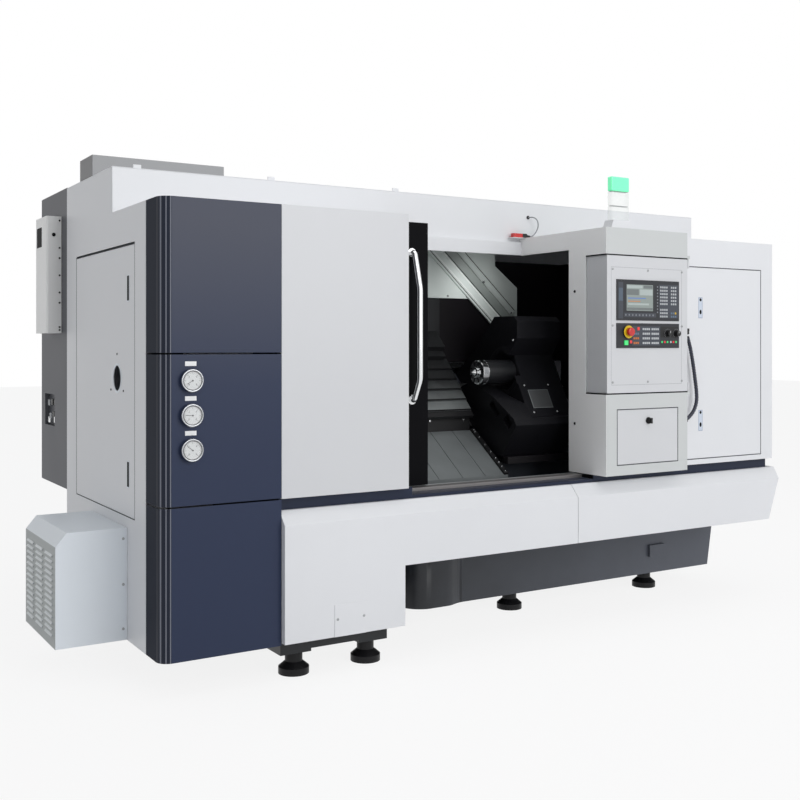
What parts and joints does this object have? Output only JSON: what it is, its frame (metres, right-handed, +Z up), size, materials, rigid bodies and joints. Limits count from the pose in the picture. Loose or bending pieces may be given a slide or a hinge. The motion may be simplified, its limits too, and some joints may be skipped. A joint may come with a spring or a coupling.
{
  "type": "cnc turning lathe",
  "caption": "Slant-bed turning lathe in a sheet-metal enclosure on a cast base, with a sliding door, a hinged control box, a saddle with a turret, a tailstock and a chuck.",
  "frame": {"origin": "middle of the machine's overall box, on the floor under its levelling feet", "axes": "+X along the spindle to the right end, +Y from the operator's side to the back, +Z up"},
  "size_m": [3.648, 1.944, 2.131],
  "materials": {
    "navy": "dark blue semi-gloss enamel",
    "white": "white semi-gloss enamel",
    "grey_paint": "mid grey enamel",
    "casting": "dark steel-blue machine enamel on cast iron",
    "dark_guard": "near-black satin enamel",
    "pale_guard": "pale enamel",
    "machine_iron": "dark satin enamel on cast iron",
    "ground_steel": "ground steel",
    "cover_steel": "rolled steel sheet",
    "chrome": "polished",
    "sill_metal": "brushed sheet",
    "black_plastic": "satin black",
    "panel_grey": "fine-grained dark grey",
    "key_plastic": "moulded keys",
    "red_plastic": "gloss red",
    "green_plastic": "translucent green",
    "clear_plastic": "translucent lens",
    "window_glass": "tinted",
    "dial_face": "printed dial",
    "cable_wrap": "spiral wrap",
    "grey_plastic": "satin grey",
    "fastener": "zinc-plated",
    "foot_black": "black enamel"
  },
  "bodies": {
    "frame": {"bed_casting": "casting", "levelling_feet": "foot_black", "bed_rails": "ground_steel", "headstock": "machine_iron", "spindle_motor": "machine_iron", "rear_guard": "pale_guard", "inner_guards": "dark_guard", "column_panels": "navy", "left_side_panel": "white", "fixed_front_cover": "white", "header_panel": "white", "roof_and_rear_panels": "white", "belt_panels": "white", "groove_strip": "navy", "right_front_panel": "white", "gauge_cases": "chrome", "gauge_dials": "dial_face", "sill_plate": "sill_metal", "door_rails": "ground_steel", "operator_housing": "white", "louvred_cover": "white", "electrical_cabinet": "grey_paint", "cooling_unit": "white", "roof_duct": "grey_paint", "lamp_base": "grey_plastic", "lamp_lenses": "clear_plastic", "safety_switch": "red_plastic", "safety_switch_cable": "grey_plastic", "cable_fittings": "black_plastic", "panel_screws": "fastener", "panel_cable": "cable_wrap"},
    "sliding_door": {"sliding_door": "white", "door_window": "window_glass", "door_stile": "black_plastic", "door_handle": "chrome"},
    "side_door": {"side_door": "white"},
    "right_door": {"right_door": "white"},
    "storage_door": {"storage_door": "white"},
    "storage_lock": {"storage_lock": "black_plastic"},
    "control_box": {"control_box": "white", "control_box_fittings": "black_plastic", "screen_unit": "panel_grey", "machine_panel": "panel_grey", "panel_keys": "key_plastic"},
    "estop_button": {"estop_button": "red_plastic"},
    "start_button": {"start_button": "green_plastic"},
    "feed_knob": {"feed_knob": "black_plastic"},
    "speed_knob": {"speed_knob": "black_plastic"},
    "cabinet_door": {"cabinet_door": "grey_paint"},
    "main_switch": {"main_switch": "red_plastic"},
    "spindle": {"spindle": "ground_steel", "chuck": "chrome"},
    "saddle": {"saddle": "machine_iron", "saddle_apron": "cover_steel", "tread_cover": "cover_steel"},
    "cross_slide": {"cross_slide": "cover_steel"},
    "turret_disc": {"turret_disc": "ground_steel"},
    "tailstock": {"tailstock": "machine_iron"},
    "tailstock_quill": {"tailstock_quill": "chrome"},
    "live_centre": {"live_centre": "chrome"}
  },
  "joints": [
    {"name": "door_slide", "type": "slide", "parent": "frame", "child": "sliding_door", "axis": [1, 0, 0], "range_m": [0, 0.852]},
    {"name": "side_door_hinge", "type": "hinge", "parent": "frame", "child": "side_door", "pos_m": [-1.54, 0.265, 1.1605], "axis": [0, 0, -1], "range_deg": [0, 110]},
    {"name": "right_door_hinge", "type": "hinge", "parent": "frame", "child": "right_door", "pos_m": [1.695, -0.886, 1.213], "axis": [0, 0, 1], "range_deg": [0, 110]},
    {"name": "storage_door_hinge", "type": "hinge", "parent": "frame", "child": "storage_door", "pos_m": [0.8395, -0.936, 0.742], "axis": [1, 0, 0], "range_deg": [0, 95]},
    {"name": "storage_lock_turn", "type": "hinge", "parent": "storage_door", "child": "storage_lock", "pos_m": [0.8395, -0.936, 0.943], "axis": [0, 1, 0], "range_deg": [0, 90]},
    {"name": "control_box_hinge", "type": "hinge", "parent": "frame", "child": "control_box", "pos_m": [1.115, -0.928, 1.399], "axis": [0, 0, 1], "range_deg": [0, 90], "deforming": ["panel_cable"]},
    {"name": "estop_push", "type": "slide", "parent": "control_box", "child": "estop_button", "axis": [0, 1, 0], "range_m": [0, 0.007]},
    {"name": "start_push", "type": "slide", "parent": "control_box", "child": "start_button", "axis": [0, 1, 0], "range_m": [0, 0.003], "stiffness_N_per_m": 900},
    {"name": "feed_knob_turn", "type": "hinge", "parent": "control_box", "child": "feed_knob", "pos_m": [0.966, -0.94, 1.358], "axis": [0, 1, 0], "range_deg": [-135, 135]},
    {"name": "speed_knob_turn", "type": "hinge", "parent": "control_box", "child": "speed_knob", "pos_m": [1.023, -0.94, 1.358], "axis": [0, 1, 0], "range_deg": [-135, 135]},
    {"name": "cabinet_door_hinge", "type": "hinge", "parent": "frame", "child": "cabinet_door", "pos_m": [-1.5395, 0.944, 1.333], "axis": [0, 0, 1], "range_deg": [0, 110]},
    {"name": "main_switch_turn", "type": "hinge", "parent": "cabinet_door", "child": "main_switch", "pos_m": [-0.38, 0.944, 1.5], "axis": [0, 1, 0], "range_deg": [0, 90]},
    {"name": "spindle_turn", "type": "hinge", "parent": "frame", "child": "spindle", "pos_m": [-1.24, -0.359, 1.168], "axis": [1, 0, 0], "continuous": true},
    {"name": "saddle_slide", "type": "slide", "parent": "frame", "child": "saddle", "axis": [1, 0, 0], "range_m": [-0.25, 0]},
    {"name": "cross_slide_travel", "type": "slide", "parent": "saddle", "child": "cross_slide", "axis": [0, 0.7071, 0.7071], "range_m": [-0.12, 0]},
    {"name": "turret_index", "type": "hinge", "parent": "cross_slide", "child": "turret_disc", "pos_m": [-0.298, -0.13273, 1.39427], "axis": [1, 0, 0], "continuous": true},
    {"name": "tailstock_slide", "type": "slide", "parent": "frame", "child": "tailstock", "axis": [1, 0, 0], "range_m": [0, 0.35]},
    {"name": "quill_slide", "type": "slide", "parent": "tailstock", "child": "tailstock_quill", "axis": [1, 0, 0], "range_m": [-0.1, 0]},
    {"name": "live_centre_turn", "type": "hinge", "parent": "tailstock_quill", "child": "live_centre", "pos_m": [0.248, -0.359, 1.168], "axis": [1, 0, 0], "continuous": true}
  ]
}
